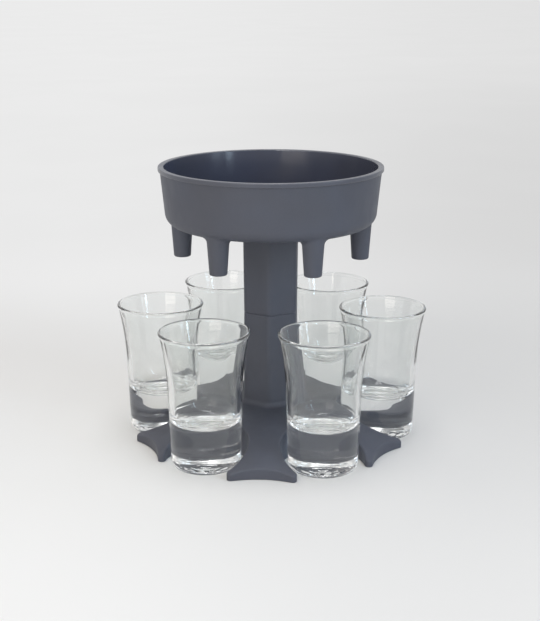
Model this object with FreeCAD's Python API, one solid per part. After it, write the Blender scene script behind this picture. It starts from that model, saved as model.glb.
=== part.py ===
import FreeCAD, Part
import math
import os

# Shot dispenser: a round bowl on a six-sided stem, with six drip spouts in its floor,
# pushed onto a six-armed foot, and six shot glasses that stand between the arms.
# Millimetres. +Z is up, the stem's axis is the Z axis and the table is z = 0.
# One arm of the foot points along -Y, and one spout and its glass lie on +X.

V = FreeCAD.Vector
ORIGIN = V(0, 0, 0)
UP = V(0, 0, 1)

# ---- driving dimensions ------------------------------------------------------------------

serving_places = 6            # spouts, glasses and arms
stem_sides = 6

# bowl
bowl_top_z = 143.4            # height of the rim over the table
bowl_depth = 29.9             # rim down to the underside of the floor
bowl_rim_radius = 57.5        # outside of the lip
lip_height = 2.2
lip_overhang = 0.8            # how far the lip stands out from the side
lip_round = 0.5               # rounding of the lip's edges
bowl_wall = 2.1
bowl_floor = 2.2
bowl_draft = 5.6              # degrees, the side leans out upwards
bowl_corner = 6.5             # outer radius between side and floor

# spouts
spout_inset = 11.3            # spout axes in from the outside of the lip
spout_length = 18.2           # below the underside of the floor
spout_tip_radius = 4.4
spout_draft = 3.9             # degrees
spout_wall = 1.4
spout_root_fillet = 3.4
spout_tip_round = 0.8
spout_mouth_chamfer = 1.2     # lead-in of each hole in the bowl's floor

# stem, in two halves that meet at the seam
seam_z = 67.5
stem_seam_flats = 27.1        # across flats at the seam
stem_draft = 0.5              # degrees, each half narrows towards the seam
stem_corner = 3.5             # rounding of the upright edges
stem_wall = 2.2               # at the seam
stem_core_draft = 0.4         # degrees, each hollow narrows away from its open end
stem_root_fillet = 2.0        # under the bowl
seam_chamfer = 0.4
spigot_height = 14.0          # plug of the foot inside the upper half
spigot_clearance = 0.15       # per side
spigot_wall = 2.0
spigot_lead = 0.8             # chamfer at the plug's top
spigot_land = 0.3             # least rounding left of the plug's corners above that

# foot
crown_z = 18.0                # height of the foot's top beside the stem
crown_flat_radius = 14.0      # where the crown starts to fall away
crown_radius = 123.0          # side view radius of the arched top
foot_wall = 2.4
foot_fillet = 3.0             # between the stem and the crown
foot_edge_round = 1.1         # along the top edge
berth_offset = 12.3           # berth and glass axes out from the spout axes
berth_clearance = 3.75        # from the foot of a glass to the hollow curve round it
arm_overhang = 9.6            # middle of an arm's end, out from the circle of berth axes
arm_tip_depth = 3.4           # least depth of a tip, between an arm's end and a berth
arm_tip_round = 2.0           # upright corners of an arm
arm_tip_round_inside = 0.6

# glasses
glass_height = 69.9
glass_rim_radius = 22.65      # outside of the rolled rim
glass_bead = 0.85             # section radius of the rolled rim
bead_angle = 60.0             # degrees below level where the rolled rim meets the side
glass_foot_radius = 17.35     # side of the base, carried down to the table
glass_foot_round = 3.2
glass_taper = 1.7             # degrees, straight part of the side
glass_flare_z = 39.0          # where the side starts to flare
glass_wall_rim = 1.4          # under the rolled rim
glass_wall_low = 2.3          # beside the floor
glass_base = 22.0             # thickness of the solid base
glass_floor_round = 5.6
glass_punt_radius = 12.5      # shallow hollow under the base
glass_punt_depth = 0.9

# ---- sizes that follow -------------------------------------------------------------------

step_deg = 360.0 / serving_places
floor_under_z = bowl_top_z - bowl_depth
floor_top_z = floor_under_z + bowl_floor
spout_circle = bowl_rim_radius - spout_inset
spout_tip_z = floor_under_z - spout_length
spout_slope = math.tan(math.radians(spout_draft))
stem_slope = 2 * math.tan(math.radians(stem_draft))
core_slope = 2 * math.tan(math.radians(stem_core_draft))
stem_top_flats = stem_seam_flats + (floor_under_z - seam_z) * stem_slope
stem_core_corner = max(stem_corner - stem_wall, spigot_lead + spigot_land + spigot_clearance)
socket_flats = stem_seam_flats - 2 * stem_wall
spigot_flats = socket_flats - 2 * spigot_clearance
berth_circle = spout_circle + berth_offset
berth_radius = glass_foot_radius + berth_clearance
arm_reach = berth_circle + arm_overhang
crown_edge_radius = berth_circle + berth_radius + 2 * arm_tip_round   # past the arms' tips
overlap = 0.5                 # how far pieces of one moulding run into each other
touch = 0.02                  # how near counts as lying on a surface
BULGE = 1 - math.sqrt(0.5)    # share of a quarter round's radius left at its middle


# ---- helpers -----------------------------------------------------------------------------

def polar(radius, degrees, z=0.0):
    angle = math.radians(degrees)
    return V(radius * math.cos(angle), radius * math.sin(angle), z)


def line(a, b):
    return Part.LineSegment(a, b).toShape()


def arc(a, middle, b):
    return Part.Arc(a, middle, b).toShape()


def turned(edges):
    """Solid of revolution from a closed outline in the XZ plane."""
    return Part.Face(Part.Wire(edges)).revolve(ORIGIN, UP, 360)


def around(shape):
    """A copy of a shape for every serving place."""
    copies = []
    for i in range(serving_places):
        copy = shape.copy()
        copy.rotate(ORIGIN, UP, i * step_deg)
        copies.append(copy)
    return copies


def middle_of(edge):
    return edge.valueAt((edge.FirstParameter + edge.LastParameter) / 2)


def fused(first, others):
    return first.fuse(others).removeSplitter()


def stem_section(flats, corner, z):
    """Six-sided section with rounded corners, one of them towards -Y."""
    turn = 360.0 / stem_sides
    corner_ratio = 1 / math.cos(math.radians(turn / 2))
    centre = (flats / 2 - corner) * corner_ratio
    edges = []
    for i in range(stem_sides):
        mid = -90 + i * turn
        c = polar(centre, mid, z)
        c_next = polar(centre, mid + turn, z)
        a = c + polar(corner, mid - turn / 2)
        b = c + polar(corner, mid + turn / 2)
        edges.append(arc(a, c + polar(corner, mid), b))
        edges.append(line(b, c_next + polar(corner, mid + turn / 2)))
    return Part.Wire(edges)


def stem_piece(z_low, flats_low, z_high, flats_high, corner):
    sections = [stem_section(flats_low, corner, z_low), stem_section(flats_high, corner, z_high)]
    return Part.makeLoft(sections, True, True)


# ---- bowl --------------------------------------------------------------------------------

def side_radius(z, inset=0.0):
    """Radius of the bowl's side at a height, moved in square to the side."""
    lean = math.radians(bowl_draft)
    outer = bowl_rim_radius - lip_overhang - (bowl_top_z - z) * math.tan(lean)
    return outer - inset / math.cos(lean)


def bowl_corner_points(inset, floor_z):
    """Side end, middle and floor end of the curve between the side and the floor."""
    lean = math.radians(bowl_draft)
    radius = bowl_corner - inset
    zc = floor_z + radius
    z_side = zc - radius * math.sin(lean)
    rc = side_radius(z_side, inset) - radius * math.cos(lean)
    half = -(lean + math.pi / 2) / 2      # direction of the curve's middle, from its centre
    side = V(side_radius(z_side, inset), 0, z_side)
    middle = V(rc + radius * math.cos(half), 0, zc + radius * math.sin(half))
    floor = V(rc, 0, floor_z)
    return side, middle, floor


def bowl_outside():
    """The bowl as if it were solid, with its lip."""
    side, middle, floor = bowl_corner_points(0.0, floor_under_z)
    rim = bowl_rim_radius
    top = bowl_top_z
    low = bowl_top_z - lip_height
    d = lip_round
    k = d * BULGE
    edges = [
        line(V(0, 0, floor_under_z), floor),
        arc(floor, middle, side),
        line(side, V(side_radius(low), 0, low)),
        line(V(side_radius(low), 0, low), V(rim - d, 0, low)),
        arc(V(rim - d, 0, low), V(rim - k, 0, low + k), V(rim, 0, low + d)),
        line(V(rim, 0, low + d), V(rim, 0, top - d)),
        arc(V(rim, 0, top - d), V(rim - k, 0, top - k), V(rim - d, 0, top)),
        line(V(rim - d, 0, top), V(0, 0, top)),
        line(V(0, 0, top), V(0, 0, floor_under_z)),
    ]
    return turned(edges)


def bowl_inside():
    """The space in the bowl, rounded over at the rim."""
    side, middle, floor = bowl_corner_points(bowl_wall, floor_top_z)
    top = bowl_top_z
    d = lip_round
    k = d * BULGE
    edge = V(side_radius(top - d, bowl_wall), 0, top - d)
    mouth = V(edge.x + d, 0, top)
    edges = [
        line(V(0, 0, floor_top_z), floor),
        arc(floor, middle, side),
        line(side, edge),
        arc(edge, V(edge.x + k, 0, top - k), mouth),
        line(mouth, V(mouth.x, 0, top + overlap)),
        line(V(mouth.x, 0, top + overlap), V(0, 0, top + overlap)),
        line(V(0, 0, top + overlap), V(0, 0, floor_top_z)),
    ]
    return turned(edges)


def spout_radius(z):
    return spout_tip_radius + (z - spout_tip_z) * spout_slope


def spout_cone(z_low, z_high, inset):
    height = z_high - z_low
    return Part.makeCone(spout_radius(z_low) - inset, spout_radius(z_high) - inset, height,
                         V(spout_circle, 0, z_low))


def spout_outside():
    cone = spout_cone(spout_tip_z, floor_under_z + bowl_corner, 0.0)
    tip = [e for e in cone.Edges if e.BoundBox.ZMax < spout_tip_z + overlap]
    return cone.makeFillet(spout_tip_round, tip)


def spout_bore():
    """The hole down a spout, widened at the floor of the bowl."""
    bore = spout_cone(spout_tip_z - overlap, floor_top_z + overlap, spout_wall)
    chamfer = spout_mouth_chamfer
    wide = spout_radius(floor_top_z) - spout_wall + chamfer
    mouth = Part.makeCone(wide - chamfer, wide + overlap, chamfer + overlap,
                          V(spout_circle, 0, floor_top_z - chamfer))
    return bore.fuse(mouth)


def meets_spout(edge):
    """Whether an edge runs round a spout where it leaves the bowl."""
    middle = middle_of(edge)
    too_long = edge.BoundBox.DiagonalLength > 4 * spout_radius(middle.z)
    if too_long or middle.z < floor_under_z - overlap:
        return False
    for i in range(serving_places):
        axis = polar(spout_circle, i * step_deg, middle.z)
        if abs(middle.distanceToPoint(axis) - spout_radius(middle.z)) < overlap / 2:
            return True
    return False


def meets_bowl(edge):
    """Whether an edge runs round the stem where it leaves the bowl."""
    box = edge.BoundBox
    level = abs(box.ZMin - floor_under_z) < touch and abs(box.ZMax - floor_under_z) < touch
    return level and max(box.XMax, box.YMax) < stem_top_flats


def upper_stem():
    return stem_piece(seam_z, stem_seam_flats,
                      floor_under_z + bowl_floor / 2, stem_top_flats, stem_corner)


def socket():
    """The hollow of the upper half of the stem, open at the seam."""
    height = floor_under_z - seam_z
    return stem_piece(seam_z - overlap, socket_flats + overlap * core_slope,
                      floor_under_z, socket_flats - height * core_slope, stem_core_corner)


def bowl():
    shape = fused(bowl_outside(), around(spout_outside()))
    shape = shape.makeFillet(spout_root_fillet, [e for e in shape.Edges if meets_spout(e)])
    shape = fused(shape, [upper_stem()])
    shape = shape.makeFillet(stem_root_fillet, [e for e in shape.Edges if meets_bowl(e)])
    seam = [e for e in shape.Edges if e.BoundBox.ZMax < seam_z + touch]
    shape = shape.makeChamfer(seam_chamfer, seam)
    shape = shape.cut(bowl_inside())
    shape = shape.cut(around(spout_bore()))
    return shape.cut(socket())


# ---- foot --------------------------------------------------------------------------------

def crown_height(radius):
    """Height of the foot's top at a distance from the axis."""
    fall = max(0.0, radius - crown_flat_radius)
    return crown_z - crown_radius + math.sqrt(crown_radius ** 2 - fall ** 2)


def crown(drop):
    """The arched top of the foot as a turned solid, lowered by a wall's thickness."""
    edge = crown_edge_radius
    middle = (crown_flat_radius + edge) / 2
    below = -crown_z
    edges = [
        line(V(0, 0, crown_z - drop), V(crown_flat_radius, 0, crown_z - drop)),
        arc(V(crown_flat_radius, 0, crown_z - drop), V(middle, 0, crown_height(middle) - drop),
            V(edge, 0, crown_height(edge) - drop)),
        line(V(edge, 0, crown_height(edge) - drop), V(edge, 0, below)),
        line(V(edge, 0, below), V(0, 0, below)),
        line(V(0, 0, below), V(0, 0, crown_z - drop)),
    ]
    return turned(edges)


def arm_end_radius():
    """Radius of an arm's hollow end, which leaves the tips their least depth beside a berth."""
    across = berth_circle * math.sin(math.radians(step_deg / 2))
    along = arm_reach - berth_circle * math.cos(math.radians(step_deg / 2))
    reach = berth_radius + arm_tip_depth
    return (across ** 2 + along ** 2 - reach ** 2) / (2 * (reach - along))


def toward(centre, target, distance):
    return centre + (target - centre).normalize() * distance


def tip_centre(c1, r1, c2, r2):
    """Where two circles cross, on the left of the way from one centre to the other."""
    way = c2 - c1
    span = way.Length
    along = (r1 ** 2 - r2 ** 2 + span ** 2) / (2 * span)
    across = math.sqrt(r1 ** 2 - along ** 2)
    way = way / span
    return c1 + way * along + V(-way.y, way.x, 0) * across


def tip_arc(tip, radius, first, second):
    """The rounded tip between two hollow curves, given by their centres."""
    bulge = (first - tip).normalize() + (second - tip).normalize()
    middle = tip + bulge.normalize() * radius
    return arc(toward(tip, first, radius), middle, toward(tip, second, radius))


def foot_outline(inset, tip_round, z):
    """Plan of the foot: hollow arm ends and berths, joined by rounded tips."""
    berth_r = berth_radius + inset
    end_r = arm_end_radius() + inset
    end_circle = arm_reach + arm_end_radius()
    lift = V(0, 0, z)
    edges = []
    for i in range(serving_places):
        arm = -90 + i * step_deg
        last = polar(berth_circle, arm - step_deg / 2) + lift
        end = polar(end_circle, arm) + lift
        berth = polar(berth_circle, arm + step_deg / 2) + lift
        following = polar(end_circle, arm + step_deg) + lift
        tip_a = tip_centre(last, berth_r + tip_round, end, end_r + tip_round)
        tip_b = tip_centre(end, end_r + tip_round, berth, berth_r + tip_round)
        tip_c = tip_centre(berth, berth_r + tip_round, following, end_r + tip_round)
        end_middle = toward(end, lift, end_r)
        berth_middle = toward(berth, lift, berth_r)
        edges.append(tip_arc(tip_a, tip_round, last, end))
        edges.append(arc(toward(end, tip_a, end_r), end_middle, toward(end, tip_b, end_r)))
        edges.append(tip_arc(tip_b, tip_round, end, berth))
        edges.append(arc(toward(berth, tip_b, berth_r), berth_middle, toward(berth, tip_c, berth_r)))
    return Part.Wire(edges)


def arms(inset, tip_round, drop, z_low):
    plan = Part.Face(foot_outline(inset, tip_round, z_low))
    return plan.extrude(V(0, 0, crown_z + overlap - z_low)).common(crown(drop))


def on_crown(edge):
    """Whether an edge lies on the arched top and isn't part of a circle through the axis."""
    middle = middle_of(edge)
    on_top = abs(middle.z - crown_height(math.hypot(middle.x, middle.y))) < touch
    return on_top and not isinstance(edge.Curve, Part.Circle)


def lower_stem():
    """The lower half of the stem, which starts inside the foot's top wall."""
    low = crown_z - foot_wall
    low_flats = stem_seam_flats + (seam_z - low) * stem_slope
    return stem_piece(low, low_flats, seam_z, stem_seam_flats, stem_corner)


def spigot():
    """The plug that goes into the upper half of the stem."""
    corner = stem_core_corner - spigot_clearance
    top = seam_z + spigot_height
    top_flats = spigot_flats - spigot_height * core_slope
    bar = stem_piece(seam_z - foot_wall, spigot_flats, top, top_flats, corner)
    return bar.makeChamfer(spigot_lead, [e for e in bar.Edges if e.BoundBox.ZMin > top - touch])


def foot_hollow():
    """The space under the foot, which goes on up the stem and into the plug."""
    space = arms(foot_wall, arm_tip_round_inside, foot_wall, -overlap)
    under_seam = seam_z - foot_wall
    wide_flats = socket_flats + under_seam * core_slope
    low = stem_piece(0, wide_flats, under_seam, socket_flats, stem_core_corner)
    plug_core = spigot_flats - 2 * spigot_wall
    high = stem_piece(under_seam - overlap, plug_core, seam_z + spigot_height - spigot_wall,
                      plug_core - spigot_height * core_slope, stem_core_corner)
    return space.fuse([low, high])


def foot():
    shape = fused(arms(0.0, arm_tip_round, 0.0, 0.0), [lower_stem()])
    reach = stem_seam_flats
    rim = [e for e in shape.Edges if on_crown(e) and e.BoundBox.Center.Length > reach]
    shape = shape.makeFillet(foot_edge_round, rim)
    root = [e for e in shape.Edges if on_crown(e) and e.BoundBox.Center.Length < reach]
    shape = shape.makeFillet(foot_fillet, root)
    seam = [e for e in shape.Edges if e.BoundBox.ZMin > seam_z - touch]
    shape = shape.makeChamfer(seam_chamfer, seam)
    shape = fused(shape, [spigot()])
    return shape.cut(foot_hollow())


# ---- glasses -----------------------------------------------------------------------------

def glass_side(z):
    """Outer radius of a glass: a straight taper that flares out to the rolled rim."""
    taper = math.tan(math.radians(glass_taper))
    radius = glass_foot_radius + z * taper
    if z <= glass_flare_z:
        return radius
    neck = bead_point(-bead_angle)
    flare = neck.x - glass_foot_radius - neck.z * taper
    return radius + flare * ((z - glass_flare_z) / (neck.z - glass_flare_z)) ** 2


def bead_point(degrees):
    """A point on the section of the rolled rim, seen from its middle."""
    angle = math.radians(degrees)
    x = glass_rim_radius - glass_bead + glass_bead * math.cos(angle)
    return V(x, 0, glass_height - glass_bead + glass_bead * math.sin(angle))


def glass_flare(start, end, wall_start, wall_end):
    """The flaring part of a side, the wall's thickness in from the outside."""
    z = (start.z + end.z) / 2
    return arc(start, V(glass_side(z) - (wall_start + wall_end) / 2, 0, z), end)


def glass_outside():
    """Half outline from the middle of the base up to the rolled rim."""
    d = glass_foot_round
    k = d * BULGE
    side = V(glass_side(d), 0, d)
    sole = V(side.x - d, 0, 0)
    punt = V(glass_punt_radius, 0, 0)
    start = V(glass_side(glass_flare_z), 0, glass_flare_z)
    dome = glass_punt_radius ** 2 / (2 * glass_punt_depth) + glass_punt_depth / 2
    half_way = math.sqrt(dome ** 2 - (punt.x / 2) ** 2) - dome + glass_punt_depth
    return [
        arc(V(0, 0, glass_punt_depth), V(punt.x / 2, 0, half_way), punt),
        line(punt, sole),
        arc(sole, V(side.x - k, 0, k), side),
        line(side, start),
        glass_flare(start, bead_point(-bead_angle), 0.0, 0.0),
    ]


def glass_inside():
    """Half outline from the rolled rim down to the floor and back to the axis."""
    d = glass_floor_round
    k = d * BULGE
    neck_wall = glass_wall_rim
    neck = V(bead_point(-bead_angle).x - neck_wall, 0, bead_point(-bead_angle).z)
    start = V(glass_side(glass_flare_z) - glass_wall_low, 0, glass_flare_z)
    low = V(glass_side(glass_base + d) - glass_wall_low, 0, glass_base + d)
    floor = V(low.x - d, 0, glass_base)
    return [
        line(bead_point(180), neck),
        glass_flare(neck, start, neck_wall, glass_wall_low),
        line(start, low),
        arc(low, V(low.x - k, 0, glass_base + k), floor),
        line(floor, V(0, 0, glass_base)),
        line(V(0, 0, glass_base), V(0, 0, glass_punt_depth)),
    ]


def glass():
    rim = [arc(bead_point(-bead_angle), bead_point(bead_angle), bead_point(180))]
    return turned(glass_outside() + rim + glass_inside())


def glasses():
    first = glass()
    first.translate(V(berth_circle, 0, 0))
    return around(first)


# ---- write the pieces --------------------------------------------------------------------

def main():
    os.makedirs("parts", exist_ok=True)
    pieces = {"bowl": bowl(), "foot": foot()}
    for i, shape in enumerate(glasses()):
        pieces["shot_glass_%d" % (i + 1)] = shape
    for name, shape in pieces.items():
        shape.exportStep("parts/%s.step" % name)
        print(name, shape.isValid(), len(shape.Solids), round(shape.Volume, 1))


main()
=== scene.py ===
import math
import bmesh
import bpy
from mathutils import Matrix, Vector


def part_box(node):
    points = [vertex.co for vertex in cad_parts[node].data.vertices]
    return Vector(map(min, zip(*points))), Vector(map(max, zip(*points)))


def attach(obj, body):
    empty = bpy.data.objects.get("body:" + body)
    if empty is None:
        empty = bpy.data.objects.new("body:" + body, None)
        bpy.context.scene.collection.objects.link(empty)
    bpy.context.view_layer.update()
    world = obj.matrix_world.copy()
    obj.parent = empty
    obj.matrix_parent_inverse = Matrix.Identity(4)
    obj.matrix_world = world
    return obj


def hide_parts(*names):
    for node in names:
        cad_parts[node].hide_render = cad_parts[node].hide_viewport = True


# Looks for a party shot dispenser: a slate plastic bowl with drip spouts, its stem and
# foot, and six pressed shot glasses. Metres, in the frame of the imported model.

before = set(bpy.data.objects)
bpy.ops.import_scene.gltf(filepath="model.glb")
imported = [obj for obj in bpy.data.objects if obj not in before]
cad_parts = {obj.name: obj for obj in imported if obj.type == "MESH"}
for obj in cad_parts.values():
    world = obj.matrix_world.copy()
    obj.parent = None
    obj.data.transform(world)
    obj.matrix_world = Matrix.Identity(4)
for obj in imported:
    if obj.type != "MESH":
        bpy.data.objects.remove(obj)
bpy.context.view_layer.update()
print("frame loaded")

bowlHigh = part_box("bowl")[1]
glassNames = sorted(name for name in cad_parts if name.startswith("shot_glass"))


# small helpers for building node trees

def addNode(tree, kind, inputs=None, **settings):
    node = tree.nodes.new(kind)
    for name, value in settings.items():
        setattr(node, name, value)
    for key, value in (inputs or {}).items():
        if isinstance(value, bpy.types.NodeSocket):
            tree.links.new(value, node.inputs[key])
        else:
            node.inputs[key].default_value = value
    return node


def calc(tree, operation, *values, kind="ShaderNodeMath"):
    node = tree.nodes.new(kind)
    node.operation = operation
    for socket, value in zip(node.inputs, values):
        if isinstance(value, bpy.types.NodeSocket):
            tree.links.new(value, socket)
        else:
            socket.default_value = value
    return node.outputs[0]


def newGroup(name, kind, inputs, outputs):
    tree = bpy.data.node_groups.new(name, kind)
    for label, socketKind, value in inputs:
        socket = tree.interface.new_socket(label, in_out="INPUT", socket_type=socketKind)
        if value is not None:
            socket.default_value = value
    for label, socketKind in outputs:
        tree.interface.new_socket(label, in_out="OUTPUT", socket_type=socketKind)
    entry = tree.nodes.new("NodeGroupInput")
    leave = tree.nodes.new("NodeGroupOutput")
    return tree, entry, leave


def mixColour(tree, share, a, b, blend="MIX"):
    node = addNode(tree, "ShaderNodeMix", data_type="RGBA", blend_type=blend)
    for index, value in ((0, share), (6, a), (7, b)):
        if isinstance(value, bpy.types.NodeSocket):
            tree.links.new(value, node.inputs[index])
        else:
            node.inputs[index].default_value = value
    return node.outputs[2]


def mixNumber(tree, share, a, b):
    return addNode(tree, "ShaderNodeMix", {0: share, 2: a, 3: b}).outputs[0]


def lengthOf(tree, vector):
    node = addNode(tree, "ShaderNodeVectorMath", {0: vector}, operation="LENGTH")
    return node.outputs["Value"]


def remap(tree, value, fromLow, fromHigh, toLow=0.0, toHigh=1.0):
    return addNode(tree, "ShaderNodeMapRange",
                   {"Value": value, "From Min": fromLow, "From Max": fromHigh,
                    "To Min": toLow, "To Max": toHigh},
                   interpolation_type="SMOOTHSTEP").outputs[0]


# effects that several materials share

def makeFineGrain():
    # the sandblasted skin of a mould: small pits, with a slower unevenness over them
    tree, entry, leave = newGroup(
        "fineGrain", "ShaderNodeTree",
        [("Size", "NodeSocketFloat", 0.0006), ("Spread", "NodeSocketFloat", 0.06)],
        [("Shade", "NodeSocketFloat"), ("Height", "NodeSocketFloat")])
    place = addNode(tree, "ShaderNodeTexCoord").outputs["Object"]
    scale = calc(tree, "DIVIDE", 1.0, entry.outputs["Size"])
    fine = addNode(tree, "ShaderNodeTexNoise",
                   {"Vector": place, "Scale": scale, "Detail": 3.0, "Roughness": 0.6})
    pits = addNode(tree, "ShaderNodeTexVoronoi", {"Vector": place, "Scale": scale},
                   feature="SMOOTH_F1")
    height = calc(tree, "MULTIPLY_ADD", pits.outputs["Distance"], 0.5, fine.outputs[0])
    centred = calc(tree, "SUBTRACT", fine.outputs[0], 0.5)
    shade = calc(tree, "MULTIPLY_ADD", centred, entry.outputs["Spread"], 1.0)
    tree.links.new(shade, leave.inputs["Shade"])
    tree.links.new(height, leave.inputs["Height"])
    return tree


def makeSoftPatches():
    # slow changes over a piece, from how the melt flowed and from handling
    tree, entry, leave = newGroup(
        "softPatches", "ShaderNodeTree",
        [("Size", "NodeSocketFloat", 0.03), ("Spread", "NodeSocketFloat", 0.1),
         ("Stretch", "NodeSocketFloat", 1.0), ("Detail", "NodeSocketFloat", 2.0),
         ("Swirl", "NodeSocketFloat", 0.6)],
        [("Mask", "NodeSocketFloat"), ("Shade", "NodeSocketFloat")])
    place = addNode(tree, "ShaderNodeTexCoord").outputs["Object"]
    scale = calc(tree, "DIVIDE", 1.0, entry.outputs["Size"])
    squeeze = addNode(tree, "ShaderNodeCombineXYZ",
                      {"X": 1.0, "Y": 1.0, "Z": entry.outputs["Stretch"]})
    drawn = calc(tree, "MULTIPLY", place, squeeze.outputs[0], kind="ShaderNodeVectorMath")
    cloud = addNode(tree, "ShaderNodeTexNoise",
                    {"Vector": drawn, "Scale": scale, "Detail": entry.outputs["Detail"],
                     "Roughness": 0.5, "Distortion": entry.outputs["Swirl"]})
    mask = remap(tree, cloud.outputs[0], 0.3, 0.7)
    centred = calc(tree, "SUBTRACT", mask, 0.5)
    shade = calc(tree, "MULTIPLY_ADD", centred, entry.outputs["Spread"], 1.0)
    tree.links.new(mask, leave.inputs["Mask"])
    tree.links.new(shade, leave.inputs["Shade"])
    return tree


def makeWearAndHighlightEdges():
    # how far a spot lies on a sharp edge, where handling polishes the skin and a lighter colour is
    # laid, partly wear and partly a painted highlight
    tree, entry, leave = newGroup(
        "wearAndHighlightEdges", "ShaderNodeTree",
        [("Width", "NodeSocketFloat", 0.0006), ("Gain", "NodeSocketFloat", 6.0)],
        [("Mask", "NodeSocketFloat")])
    eased = addNode(tree, "ShaderNodeBevel", {"Radius": entry.outputs["Width"]}, samples=4)
    plain = addNode(tree, "ShaderNodeNewGeometry").outputs["Normal"]
    along = addNode(tree, "ShaderNodeVectorMath", {0: eased.outputs[0], 1: plain},
                    operation="DOT_PRODUCT").outputs["Value"]
    away = calc(tree, "SUBTRACT", 1.0, along)
    gained = calc(tree, "MULTIPLY", away, entry.outputs["Gain"])
    tree.links.new(calc(tree, "MINIMUM", gained, 1.0), leave.inputs["Mask"])
    return tree


def useGroup(tree, group, values):
    return addNode(tree, "ShaderNodeGroup", values, node_tree=group)


fineGrain = makeFineGrain()
softPatches = makeSoftPatches()
wearAndHighlightEdges = makeWearAndHighlightEdges()


# materials

slateSkin = {
    "colour": (0.0815, 0.0865, 0.1075, 1.0),
    "cooler": (0.0755, 0.0825, 0.1065, 1.0),
    "wornEdgeHighlight": (0.150, 0.156, 0.182, 1.0),
    "wornEdgeHighlightShare": 0.6,
    "grainSize": 0.0005,
    "grainSpread": 0.22,
    "grainDepth": 0.00003,
    "roughness": (0.50, 0.60),
    "specular": 0.45,
}

slateLip = {                      # the lip round the rim, smoother than the side below it; its colour a little lighter as painted sheen, its edges much lighter as wear and a painted highlight
    "colour": (0.085, 0.090, 0.112, 1.0),
    "cooler": (0.079, 0.086, 0.110, 1.0),
    "wornEdgeHighlight": (0.190, 0.195, 0.220, 1.0),
    "wornEdgeHighlightShare": 0.8,
    "grainSize": 0.0007,
    "grainSpread": 0.12,
    "grainDepth": 0.000006,
    "roughness": (0.28, 0.36),
    "specular": 0.5,
}

slateInside = {                   # the polished face of the mould, inside the bowl; its colour is darker than the outside as painted shade
    "colour": (0.062, 0.067, 0.092, 1.0),
    "cooler": (0.055, 0.062, 0.092, 1.0),
    "wornEdgeHighlight": (0.06, 0.066, 0.088, 1.0),
    "wornEdgeHighlightShare": 0.0,
    "grainSize": 0.0009,
    "grainSpread": 0.06,
    "grainDepth": 0.000002,
    "roughness": (0.17, 0.23),
    "specular": 0.5,
}

plasticMarks = {                  # what all three finishes share
    "ior": 1.49,
    "flowSize": 0.035,            # slow changes of tone from the flow of the melt
    "flowSpread": 0.10,
    "handledSize": 0.009,         # duller and glossier places from handling
    "handledSpread": 0.16,
    "handledStretch": 0.6,
    "edgeWidth": 0.0007,
    "edgeGain": 3.0,
    "edgeGloss": 0.3,             # how much smoother a rubbed edge is
}


def newMaterial(name):
    material = bpy.data.materials.new(name)
    material.use_nodes = True
    tree = material.node_tree
    tree.nodes.clear()
    output = tree.nodes.new("ShaderNodeOutputMaterial")
    return material, tree, output


def mouldedPlastic(name, look):
    material, tree, output = newMaterial(name)
    marks = plasticMarks
    grain = useGroup(tree, fineGrain, {"Size": look["grainSize"], "Spread": look["grainSpread"]})
    patches = useGroup(tree, softPatches,
                       {"Size": marks["flowSize"], "Spread": marks["flowSpread"]})
    handling = useGroup(tree, softPatches,
                        {"Size": marks["handledSize"], "Spread": marks["handledSpread"],
                         "Stretch": marks["handledStretch"]})
    edges = useGroup(tree, wearAndHighlightEdges, {"Width": marks["edgeWidth"], "Gain": marks["edgeGain"]})
    toned = mixColour(tree, patches.outputs["Mask"], look["colour"], look["cooler"])
    shade = calc(tree, "MULTIPLY", grain.outputs["Shade"], patches.outputs["Shade"])
    shaded = addNode(tree, "ShaderNodeVectorMath", {0: toned, "Scale": shade}, operation="SCALE")
    # edges take a lighter colour, partly wear and partly a painted highlight
    wornAndLit = calc(tree, "MULTIPLY", edges.outputs["Mask"], look["wornEdgeHighlightShare"])
    colour = mixColour(tree, wornAndLit, shaded.outputs[0], look["wornEdgeHighlight"])
    low, high = look["roughness"]
    rough = addNode(tree, "ShaderNodeMapRange",
                    {"Value": handling.outputs["Mask"], "To Min": low, "To Max": high}).outputs[0]
    rough = calc(tree, "MULTIPLY_ADD", wornAndLit, -marks["edgeGloss"], rough)
    bump = addNode(tree, "ShaderNodeBump",
                   {"Height": grain.outputs["Height"], "Distance": look["grainDepth"],
                    "Strength": 1.0})
    shader = addNode(tree, "ShaderNodeBsdfPrincipled",
                     {"Base Color": colour, "Roughness": rough, "Normal": bump.outputs[0],
                      "IOR": marks["ior"], "Specular IOR Level": look["specular"]})
    tree.links.new(shader.outputs[0], output.inputs["Surface"])
    return material


pressedGlass = {
    "colour": (0.955, 0.962, 0.958, 1.0),
    "greener": (0.925, 0.941, 0.934, 1.0),
    "roughness": (0.0, 0.008),
    "ior": 1.50,
    "waveSize": 0.0055,
    "waveStretch": 0.07,          # the waves run up and down the side
    "waveSwirl": 0.2,
    "waveDepth": 0.000045,
    "level": (0.3, 0.9),          # between these the waves fade, as the surface turns level
    "tintSize": 0.02,
    "wipeSize": 0.004,
    "wipeStretch": 0.3,
    "shadowTint": (0.83, 0.835, 0.835, 1.0),
}


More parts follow.
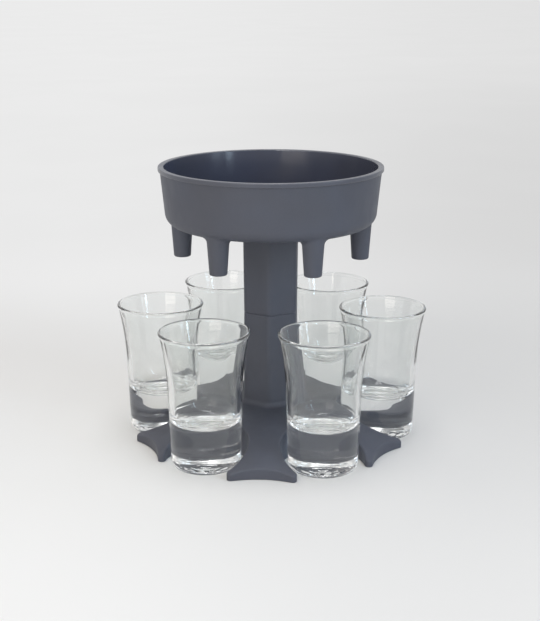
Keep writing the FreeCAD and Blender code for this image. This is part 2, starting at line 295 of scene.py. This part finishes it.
def clearGlass(name, look):
    material, tree, output = newMaterial(name)
    waves = useGroup(tree, softPatches,
                     {"Size": look["waveSize"], "Stretch": look["waveStretch"],
                      "Detail": 0.0, "Swirl": look["waveSwirl"]})
    normal = addNode(tree, "ShaderNodeNewGeometry").outputs["Normal"]
    rise = addNode(tree, "ShaderNodeSeparateXYZ", {0: normal}).outputs["Z"]
    upright = remap(tree, calc(tree, "ABSOLUTE", rise), *look["level"], 1.0, 0.0)
    height = calc(tree, "MULTIPLY", waves.outputs["Mask"], upright)
    tint = useGroup(tree, softPatches, {"Size": look["tintSize"]})
    wiped = useGroup(tree, softPatches, {"Size": look["wipeSize"], "Stretch": look["wipeStretch"]})
    colour = mixColour(tree, tint.outputs["Mask"], look["colour"], look["greener"])
    low, high = look["roughness"]
    rough = addNode(tree, "ShaderNodeMapRange",
                    {"Value": wiped.outputs["Mask"], "To Min": low, "To Max": high}).outputs[0]
    bump = addNode(tree, "ShaderNodeBump",
                   {"Height": height, "Distance": look["waveDepth"], "Strength": 1.0})
    shader = addNode(tree, "ShaderNodeBsdfPrincipled",
                     {"Base Color": colour, "Roughness": rough, "Normal": bump.outputs[0],
                      "IOR": look["ior"], "Metallic": 0.0, "Transmission Weight": 1.0})
    clear = addNode(tree, "ShaderNodeBsdfTransparent", {"Color": look["shadowTint"]})
    rays = addNode(tree, "ShaderNodeLightPath")
    both = addNode(tree, "ShaderNodeMixShader",
                   {0: rays.outputs["Is Shadow Ray"], 1: shader.outputs[0], 2: clear.outputs[0]})
    tree.links.new(both.outputs[0], output.inputs["Surface"])
    return material


slatePlastic = mouldedPlastic("slatePlastic", slateSkin)
lipPlastic = mouldedPlastic("lipPlastic", slateLip)
polishedShadedPlastic = mouldedPlastic("polishedShadedPlastic", slateInside)
shotGlass = clearGlass("shotGlass", pressedGlass)
print("materials ready")


# the two plastic mouldings

mouldings = {
    "mergeDistance": 0.000002,
    "smoothAngle": 32.0,          # degrees
    "floorBelowRim": 0.0285,      # a little under the top of the bowl's floor
    "polishBelowRim": 0.0006,     # the polish starts just inside the lip
    "lipBelowRim": 0.0021,        # how far down the lip reaches outside
    "facesIn": 0.2,               # faces that turn outwards more than this stay matt
}


def smoothCopy(nodeName, pieceName):
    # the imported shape, with its loose triangles joined and its rounds shaded smoothly
    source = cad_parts[nodeName]
    mesh = source.data.copy()
    mesh.name = pieceName
    mesh.transform(source.matrix_world)
    shape = bmesh.new()
    shape.from_mesh(mesh)
    bmesh.ops.remove_doubles(shape, verts=shape.verts, dist=mouldings["mergeDistance"])
    limit = math.radians(mouldings["smoothAngle"])
    for face in shape.faces:
        face.smooth = True
    for edge in shape.edges:
        edge.smooth = edge.calc_face_angle(0.0) < limit
    shape.to_mesh(mesh)
    shape.free()
    mesh.materials.clear()
    piece = bpy.data.objects.new(pieceName, mesh)
    bpy.context.collection.objects.link(piece)
    weighted = piece.modifiers.new("faceNormals", "WEIGHTED_NORMAL")
    weighted.keep_sharp = True
    weighted.weight = 100
    return piece


def dressBowl():
    piece = smoothCopy("bowl", "bowlMoulding")
    mesh = piece.data
    for finish in (slatePlastic, polishedShadedPlastic, lipPlastic):
        mesh.materials.append(finish)
    for face in mesh.polygons:
        centre = face.center
        depth = bowlHigh[2] - centre.z
        outward = Vector((centre.x, centre.y, 0.0)).normalized()
        facesIn = face.normal.dot(outward) < mouldings["facesIn"]
        # inside below the lip: the polished finish, darker as painted shade; at the lip: the
        # lighter finish with painted sheen
        if facesIn and mouldings["polishBelowRim"] < depth < mouldings["floorBelowRim"]:
            face.material_index = 1
        elif depth < mouldings["lipBelowRim"]:
            face.material_index = 2
    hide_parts("bowl")
    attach(piece, "bowl")


def dressFoot():
    piece = smoothCopy("foot", "footMoulding")
    piece.data.materials.append(slatePlastic)
    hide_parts("foot")
    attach(piece, "foot")


dressBowl()
dressFoot()
print("mouldings dressed")


# shot glasses

glassShape = {
    "rimBead": 0.00085,           # section radius of the rolled rim
    "beadAngle": 60.0,            # degrees below level where it meets the side
    "footRadius": 0.01735,
    "footRound": 0.0040,
    "taper": 1.7,                 # degrees
    "flareHeight": 0.039,
    "wallAtRim": 0.0014,
    "wallLow": 0.0023,
    "baseThickness": 0.022,
    "floorRound": 0.0080,
    "plungerMark": (0.0050, 0.0008, 0.00022),   # ring in the floor: radius, width, step
    "puntRadius": 0.0130,
    "sideHeights": (0.008, 0.016, 0.024, 0.032),
    "insideHeights": (0.036, 0.0335),
    "risers": (0.0001, 6),        # a step in the sole higher than this has so many points
    "treads": 3,
    "footSteps": 10,
    "flareSteps": 24,
    "beadSteps": 16,
    "cornerSteps": 16,
    "floorSteps": 40,
    "segments": 144,
    "mergeDistance": 0.0000005,
}

soleSteps = [
    # the hollow under the base goes down in rings: radius, height over the table
    (0.0000, 0.00150), (0.0016, 0.00150), (0.0020, 0.00120), (0.0034, 0.00120),
    (0.0038, 0.00140), (0.0050, 0.00130), (0.0054, 0.00100), (0.0068, 0.00100),
    (0.0072, 0.00120), (0.0084, 0.00100), (0.0088, 0.00070), (0.0100, 0.00060),
    (0.0104, 0.00080), (0.0116, 0.00060), (0.0121, 0.00020), (0.0130, 0.00000),
]


def arcPoints(centre, radius, start, end, count):
    points = []
    for i in range(count + 1):
        angle = math.radians(start + (end - start) * i / count)
        points.append((centre[0] + radius * math.cos(angle),
                       centre[1] + radius * math.sin(angle)))
    return points


def easedStep(value, start, width):
    share = min(max((value - start) / width, 0.0), 1.0)
    return share * share * (3 - 2 * share)


def solePoints():
    points = []
    drop, riserCount = glassShape["risers"]
    for (r0, z0), (r1, z1) in zip(soleSteps[:-1], soleSteps[1:]):
        count = riserCount if abs(z1 - z0) > drop else glassShape["treads"]
        for i in range(count):
            share = i / count
            points.append((r0 + (r1 - r0) * share, z0 + (z1 - z0) * easedStep(share, 0.0, 1.0)))
    return points


def glassProfile(height, rimRadius):
    # half section from the middle of the sole, up the outside, over the rim and down inside
    s = glassShape
    slope = math.tan(math.radians(s["taper"]))
    beadX = rimRadius - s["rimBead"]
    beadZ = height - s["rimBead"]
    beadDrop = math.radians(s["beadAngle"])
    neckX = beadX + s["rimBead"] * math.cos(beadDrop)
    neckZ = beadZ - s["rimBead"] * math.sin(beadDrop)
    flareStart = s["flareHeight"]

    def side(z):
        radius = s["footRadius"] + z * slope
        if z > flareStart:
            rise = (z - flareStart) / (neckZ - flareStart)
            radius += (neckX - s["footRadius"] - neckZ * slope) * rise ** 2
        return radius

    def wall(z):
        if z < flareStart:
            return s["wallLow"]
        rise = (z - flareStart) / (neckZ - flareStart)
        return s["wallLow"] + (s["wallAtRim"] - s["wallLow"]) * rise

    steps = s["flareSteps"]
    flareHeights = [flareStart + (neckZ - flareStart) * i / steps for i in range(steps + 1)]
    r = s["footRound"]
    footX = side(r) - r
    points = solePoints() + [(s["puntRadius"], 0.0)]
    points += arcPoints((footX, r), r, -90, 0, s["footSteps"])
    points += [(side(z), z) for z in s["sideHeights"]]
    points += [(side(z), z) for z in flareHeights[:-1]]
    points += arcPoints((beadX, beadZ), s["rimBead"], -s["beadAngle"], 180, s["beadSteps"])
    points += [(side(z) - wall(z), z) for z in reversed(flareHeights)]
    points += [(side(z) - wall(z), z) for z in s["insideHeights"]]
    r = s["floorRound"]
    floorZ = s["baseThickness"]
    lowX = side(floorZ + r) - s["wallLow"]
    points += arcPoints((lowX - r, floorZ + r), r, 0, -90, s["cornerSteps"])
    flat = lowX - r
    markRadius, markWidth, markStep = s["plungerMark"]
    for i in range(1, s["floorSteps"] + 1):
        x = flat * (1 - i / s["floorSteps"])
        points.append((x, floorZ - markStep * (1 - easedStep(x, markRadius, markWidth))))
    return points


def makeTurning():
    # turns a half section about the upright axis at Centre
    tree, entry, leave = newGroup(
        "turning", "GeometryNodeTree",
        [("Profile", "NodeSocketObject", None), ("Segments", "NodeSocketInt", 96),
         ("Centre", "NodeSocketVector", None), ("Finish", "NodeSocketMaterial", None)],
        [("Geometry", "NodeSocketGeometry")])
    section = addNode(tree, "GeometryNodeObjectInfo", {"Object": entry.outputs["Profile"]})
    count = addNode(tree, "GeometryNodeAttributeDomainSize",
                    {"Geometry": section.outputs["Geometry"]}).outputs["Point Count"]
    rings = calc(tree, "ADD", entry.outputs["Segments"], 1.0)
    sheet = addNode(tree, "GeometryNodeMeshGrid", {"Vertices X": rings, "Vertices Y": count})
    index = addNode(tree, "GeometryNodeInputIndex").outputs[0]
    ring = calc(tree, "FLOOR", calc(tree, "DIVIDE", calc(tree, "ADD", index, 0.5), count))
    along = calc(tree, "SUBTRACT", index, calc(tree, "MULTIPLY", ring, count))
    position = addNode(tree, "GeometryNodeInputPosition").outputs[0]
    picked = addNode(tree, "GeometryNodeSampleIndex",
                     {"Geometry": section.outputs["Geometry"], "Index": along},
                     data_type="FLOAT_VECTOR")
    tree.links.new(position, picked.inputs["Value"])
    share = calc(tree, "DIVIDE", ring, entry.outputs["Segments"])
    angle = calc(tree, "MULTIPLY", share, 2 * math.pi)
    turned = addNode(tree, "ShaderNodeVectorRotate",
                     {"Vector": picked.outputs[0], "Angle": angle}, rotation_type="Z_AXIS")
    placed = calc(tree, "ADD", turned.outputs[0], entry.outputs["Centre"],
                  kind="ShaderNodeVectorMath")
    moved = addNode(tree, "GeometryNodeSetPosition",
                    {"Geometry": sheet.outputs["Mesh"], "Position": placed})
    closed = addNode(tree, "GeometryNodeMergeByDistance",
                     {"Geometry": moved.outputs[0], "Distance": glassShape["mergeDistance"]})
    smooth = addNode(tree, "GeometryNodeSetShadeSmooth", {"Geometry": closed.outputs[0]})
    real = addNode(tree, "GeometryNodeRealizeInstances", {"Geometry": smooth.outputs[0]})
    done = addNode(tree, "GeometryNodeSetMaterial",
                   {"Geometry": real.outputs[0], "Material": entry.outputs["Finish"]})
    tree.links.new(done.outputs[0], leave.inputs["Geometry"])
    return tree


def sectionObject(name, points):
    mesh = bpy.data.meshes.new(name)
    mesh.from_pydata([(x, 0.0, z) for x, z in points],
                     [(i, i + 1) for i in range(len(points) - 1)], [])
    piece = bpy.data.objects.new(name, mesh)
    bpy.context.collection.objects.link(piece)
    return piece


def growPiece(name, tree, values):
    # runs a node tree on an empty mesh and keeps what it makes as a plain mesh
    holder = bpy.data.objects.new(name, bpy.data.meshes.new(name))
    bpy.context.collection.objects.link(holder)
    modifier = holder.modifiers.new("grow", "NODES")
    modifier.node_group = tree
    identifiers = {item.name: item.identifier for item in tree.interface.items_tree
                   if item.in_out == "INPUT"}
    for label, value in values.items():
        modifier[identifiers[label]] = value
    evaluated = holder.evaluated_get(bpy.context.evaluated_depsgraph_get())
    made = bpy.data.meshes.new_from_object(evaluated)
    holder.modifiers.remove(modifier)
    holder.data = made
    made.name = name
    return holder


def faceOutwards(mesh):
    shape = bmesh.new()
    shape.from_mesh(mesh)
    bmesh.ops.dissolve_degenerate(shape, edges=shape.edges, dist=glassShape["mergeDistance"])
    bmesh.ops.recalc_face_normals(shape, faces=shape.faces)
    shape.to_mesh(mesh)
    shape.free()


def dressGlasses():
    turning = makeTurning()
    boxes = [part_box(name) for name in glassNames]
    height = min(high[2] - low[2] for low, high in boxes)
    rimRadius = min((high[axis] - low[axis]) / 2 for low, high in boxes for axis in (0, 1))
    section = sectionObject("glassSection", glassProfile(height, rimRadius))
    for name, (low, high) in zip(glassNames, boxes):
        centre = ((low[0] + high[0]) / 2, (low[1] + high[1]) / 2, low[2])
        piece = growPiece("turned_" + name, turning,
                          {"Profile": section, "Segments": glassShape["segments"],
                           "Centre": centre, "Finish": shotGlass})
        faceOutwards(piece.data)
        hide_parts(name)
        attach(piece, name)
    bpy.data.objects.remove(section)


dressGlasses()
print("glasses turned")


# studio

studio = {
    "floorRadius": 12.0,
    "floorSides": 96,
    "floorDrop": 0.0002,                     # keeps the floor clear of the soles
    "floorTint": (1.0, 0.99, 0.965, 1.0),
    "floorPatches": {"Size": 0.25, "Spread": 0.012},
    "floorGrain": {"Size": 0.0012, "Spread": 0.01},
    "floorGrainDepth": 0.00002,
    "floorRoughness": 0.75,
    "floorSpecular": 0.2,
    "floorLight": 0.90,                      # how bright a white spot of it comes out
    "fade": (0.25, 0.65),                    # from here to there the floor turns into the backdrop
    "across": (-0.2, 0.2),                   # paler on the left
    "standOff": 0.65,                        # left and right part from a point this far in front
    "leastReach": 0.35,
    "near": (0.890, 0.795),                  # its left and right tone in front of the object
    "stops": [                               # changes as it runs back: from, to, left, right; the first darkens and the second lightens again, a painted shadow as a darker band behind the object, darkest on the right
        (-0.20, 0.08, 0.80, 0.690),
        (0.12, 0.38, 0.91, 0.76),
    ],
    "far": (0.60, 3.00, 0.925, 0.835),       # and a long way off all round
    "backdropLeft": (0.835, 0.835, 0.84, 1.0),
    "backdropRight": (0.755, 0.755, 0.76, 1.0),
    "domeLeft": (1.05, 1.00, 0.92, 1.0),
    "domeRight": (0.94, 1.00, 1.15, 1.0),
    "domeFront": 0.75,                       # strength low in front of the object
    "domeTop": 0.55,                         # strength overhead
    "domeBack": 0.55,                        # strength low behind
    "frontBand": (-0.45, -0.15),             # where each of them starts and is full
    "backBand": (0.15, 0.45),
    "topBand": (0.35, 0.65),
    "sideBand": (-0.9, 0.9),
    "lampAim": (0.0, 0.0, 0.07),
    "lightBounces": 36,                      # light runs a long way down inside the glass walls
    "glossyBounces": 24,
}

softboxes = [
    # name, place, width, height, watts, colour
    ("overhead", (0.0, -0.05, 1.70), 0.8, 0.8, 10.8, (1.0, 1.0, 1.0)),
    ("tallLeft", (-0.69, -1.63, 0.75), 1.0, 1.3, 7.7, (1.0, 0.925, 0.85)),
    ("windowPane", (1.39, -1.10, 0.75), 0.14, 1.3, 5.0, (0.66, 0.84, 1.0)),
    ("windowSide", (1.64, -0.67, 0.75), 0.32, 1.3, 3.5, (0.66, 0.84, 1.0)),
]


def colourOf(tree, tone):
    return addNode(tree, "ShaderNodeCombineColor", {0: tone, 1: tone, 2: tone}).outputs[0]


def backdropColour(tree, way):
    # paler on the left, by the level direction alone
    parts = addNode(tree, "ShaderNodeSeparateXYZ", {0: way})
    level = addNode(tree, "ShaderNodeCombineXYZ",
                    {"X": parts.outputs["X"], "Y": parts.outputs["Y"], "Z": 0.0})
    unit = calc(tree, "NORMALIZE", level.outputs[0], kind="ShaderNodeVectorMath")
    across = addNode(tree, "ShaderNodeSeparateXYZ", {0: unit}).outputs["X"]
    share = remap(tree, across, *studio["across"])
    return mixColour(tree, share, studio["backdropLeft"], studio["backdropRight"])


def paperToneAndShadow(tree, place):
    # the tone of the paper sweep at a place on the floor, left to right and front to back, with a
    # painted shadow as a darker band behind the object
    parts = addNode(tree, "ShaderNodeSeparateXYZ", {0: place})
    fromFront = calc(tree, "ADD", place, (0.0, studio["standOff"], 0.0),
                     kind="ShaderNodeVectorMath")
    reach = calc(tree, "MAXIMUM", lengthOf(tree, fromFront), studio["leastReach"])
    share = remap(tree, calc(tree, "DIVIDE", parts.outputs["X"], reach), *studio["across"])
    tone = mixNumber(tree, share, *studio["near"])
    changes = [(parts.outputs["Y"], stop) for stop in studio["stops"]]
    changes.append((lengthOf(tree, place), studio["far"]))
    for measure, (start, end, left, right) in changes:
        passed = remap(tree, measure, start, end)
        tone = mixNumber(tree, passed, tone, mixNumber(tree, share, left, right))
    return tone


def seenRays(tree):
    # rays that reach the eye straight, through glass or off a gloss
    rays = addNode(tree, "ShaderNodeLightPath")
    seen = calc(tree, "MAXIMUM", rays.outputs["Is Camera Ray"],
                rays.outputs["Is Transmission Ray"])
    return calc(tree, "MAXIMUM", seen, rays.outputs["Is Glossy Ray"])


def makeFloor():
    sides = studio["floorSides"]
    radius = studio["floorRadius"]
    shape = bmesh.new()
    ring = [shape.verts.new((radius * math.cos(2 * math.pi * i / sides),
                             radius * math.sin(2 * math.pi * i / sides),
                             -studio["floorDrop"])) for i in range(sides)]
    shape.faces.new(ring)
    mesh = bpy.data.meshes.new("floor")
    shape.to_mesh(mesh)
    shape.free()
    floor = bpy.data.objects.new("floor", mesh)
    bpy.context.collection.objects.link(floor)
    material, tree, output = newMaterial("paperFloor")
    place = addNode(tree, "ShaderNodeTexCoord").outputs["Object"]
    patches = useGroup(tree, softPatches, studio["floorPatches"])
    grain = useGroup(tree, fineGrain, studio["floorGrain"])
    tone = calc(tree, "MULTIPLY", paperToneAndShadow(tree, place), patches.outputs["Shade"])
    colour = addNode(tree, "ShaderNodeVectorMath", {0: studio["floorTint"][:3], "Scale": tone},
                     operation="SCALE").outputs[0]
    bump = addNode(tree, "ShaderNodeBump",
                   {"Height": grain.outputs["Height"], "Distance": studio["floorGrainDepth"]})
    shader = addNode(tree, "ShaderNodeBsdfPrincipled",
                     {"Base Color": colour, "Roughness": studio["floorRoughness"],
                      "Normal": bump.outputs[0], "Specular IOR Level": studio["floorSpecular"]})
    backdrop = addNode(tree, "ShaderNodeEmission",
                       {"Color": colourOf(tree, tone), "Strength": studio["floorLight"]})
    far = remap(tree, lengthOf(tree, place), *studio["fade"])
    share = calc(tree, "MULTIPLY", far, seenRays(tree))
    both = addNode(tree, "ShaderNodeMixShader",
                   {0: share, 1: shader.outputs[0], 2: backdrop.outputs[0]})
    tree.links.new(both.outputs[0], output.inputs["Surface"])
    mesh.materials.append(material)


def makeDome():
    world = bpy.data.worlds.new("softDome")
    bpy.context.scene.world = world
    world.use_nodes = True
    tree = world.node_tree
    tree.nodes.clear()
    way = addNode(tree, "ShaderNodeTexCoord").outputs["Generated"]
    parts = addNode(tree, "ShaderNodeSeparateXYZ", {0: way})
    front = remap(tree, parts.outputs["Y"], *studio["frontBand"], studio["domeFront"], 0.0)
    behind = remap(tree, parts.outputs["Y"], *studio["backBand"], 0.0, studio["domeBack"])
    rise = remap(tree, parts.outputs["Z"], *studio["topBand"])
    strength = mixNumber(tree, rise, calc(tree, "ADD", front, behind), studio["domeTop"])
    across = remap(tree, parts.outputs["X"], *studio["sideBand"])
    light = mixColour(tree, across, studio["domeLeft"], studio["domeRight"])
    dome = addNode(tree, "ShaderNodeBackground", {"Color": light, "Strength": strength})
    shown = addNode(tree, "ShaderNodeBackground",
                    {"Color": backdropColour(tree, way), "Strength": 1.0})
    both = addNode(tree, "ShaderNodeMixShader",
                   {0: seenRays(tree), 1: dome.outputs[0], 2: shown.outputs[0]})
    output = tree.nodes.new("ShaderNodeOutputWorld")
    tree.links.new(both.outputs[0], output.inputs["Surface"])


def makeSoftboxes():
    aim = Vector(studio["lampAim"])
    for name, place, width, height, watts, colour in softboxes:
        lamp = bpy.data.lights.new(name, "AREA")
        lamp.shape = "RECTANGLE"
        lamp.size = width
        lamp.size_y = height
        lamp.energy = watts
        lamp.color = colour
        holder = bpy.data.objects.new(name, lamp)
        holder.location = place
        holder.rotation_euler = (aim - Vector(place)).to_track_quat("-Z", "Y").to_euler()
        bpy.context.collection.objects.link(holder)


makeFloor()
makeDome()
makeSoftboxes()
print("studio lit")


# camera

cameraView = {
    "lens": 69.65,            # mm
    "frame": 36.0,            # mm, along the long side of the picture
    "nearest": 0.01,
    "distance": 0.6324,
    "targetHeight": 0.0664,
    "azimuth": 3.705,         # degrees towards +X from straight in front
    "elevation": 15.715,
    "shift": -0.0014,
}


def makeCamera():
    lens = bpy.data.cameras.new("camera")
    lens.lens = cameraView["lens"]
    lens.sensor_width = cameraView["frame"]
    lens.shift_x = cameraView["shift"]
    lens.clip_start = cameraView["nearest"]
    holder = bpy.data.objects.new("camera", lens)
    turn = math.radians(cameraView["azimuth"])
    tilt = math.radians(cameraView["elevation"])
    away = Vector((math.sin(turn) * math.cos(tilt), -math.cos(turn) * math.cos(tilt),
                   math.sin(tilt)))
    target = Vector((0.0, 0.0, cameraView["targetHeight"]))
    holder.location = target + away * cameraView["distance"]
    holder.rotation_euler = (-away).to_track_quat("-Z", "Y").to_euler()
    bpy.context.collection.objects.link(holder)
    bpy.context.scene.camera = holder


makeCamera()
scene = bpy.context.scene
scene.view_settings.view_transform = "Standard"
scene.cycles.max_bounces = studio["lightBounces"]
scene.cycles.transmission_bounces = studio["lightBounces"]
scene.cycles.glossy_bounces = studio["glossyBounces"]
